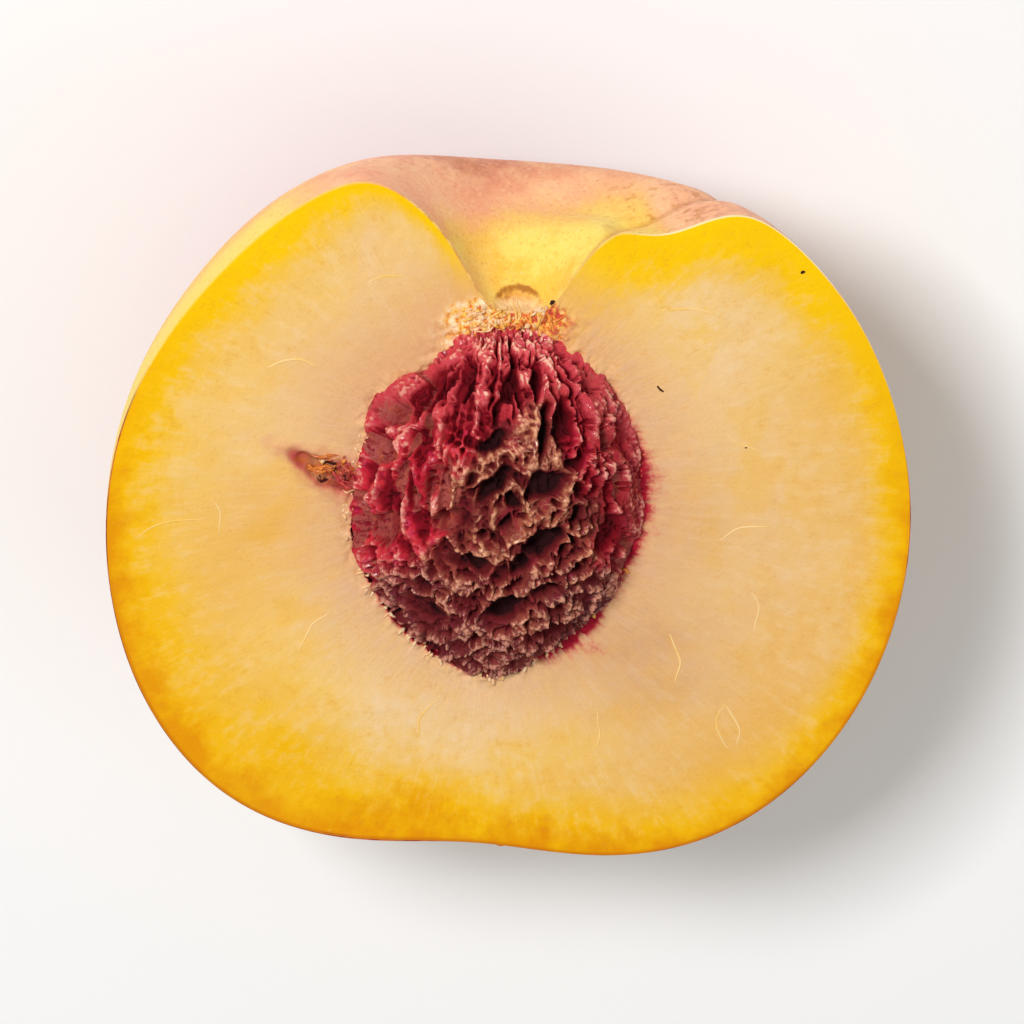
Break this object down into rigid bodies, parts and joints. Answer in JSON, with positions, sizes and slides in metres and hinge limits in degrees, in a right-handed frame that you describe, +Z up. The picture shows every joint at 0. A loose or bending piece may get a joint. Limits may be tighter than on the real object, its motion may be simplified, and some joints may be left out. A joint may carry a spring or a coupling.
{
  "type": "peach half",
  "caption": "Half of a ripe peach cut through the stem end, lying on its back with the cut up and the whole stone left in it.",
  "frame": {"origin": "middle of the footprint, at the bottom of the flat spot that the half rests on", "axes": "+X across the cut, +Y towards the stem end, +Z up, out of the cut"},
  "size_m": [0.076, 0.0684, 0.0451],
  "materials": {
    "flesh": "moist golden flesh under a thin, downy, red and yellow skin",
    "stone": "rough, deeply pitted, crimson to tan brown"
  },
  "bodies": {
    "root": {"flesh_and_skin": "flesh", "stone": "stone"}
  },
  "joints": []
}
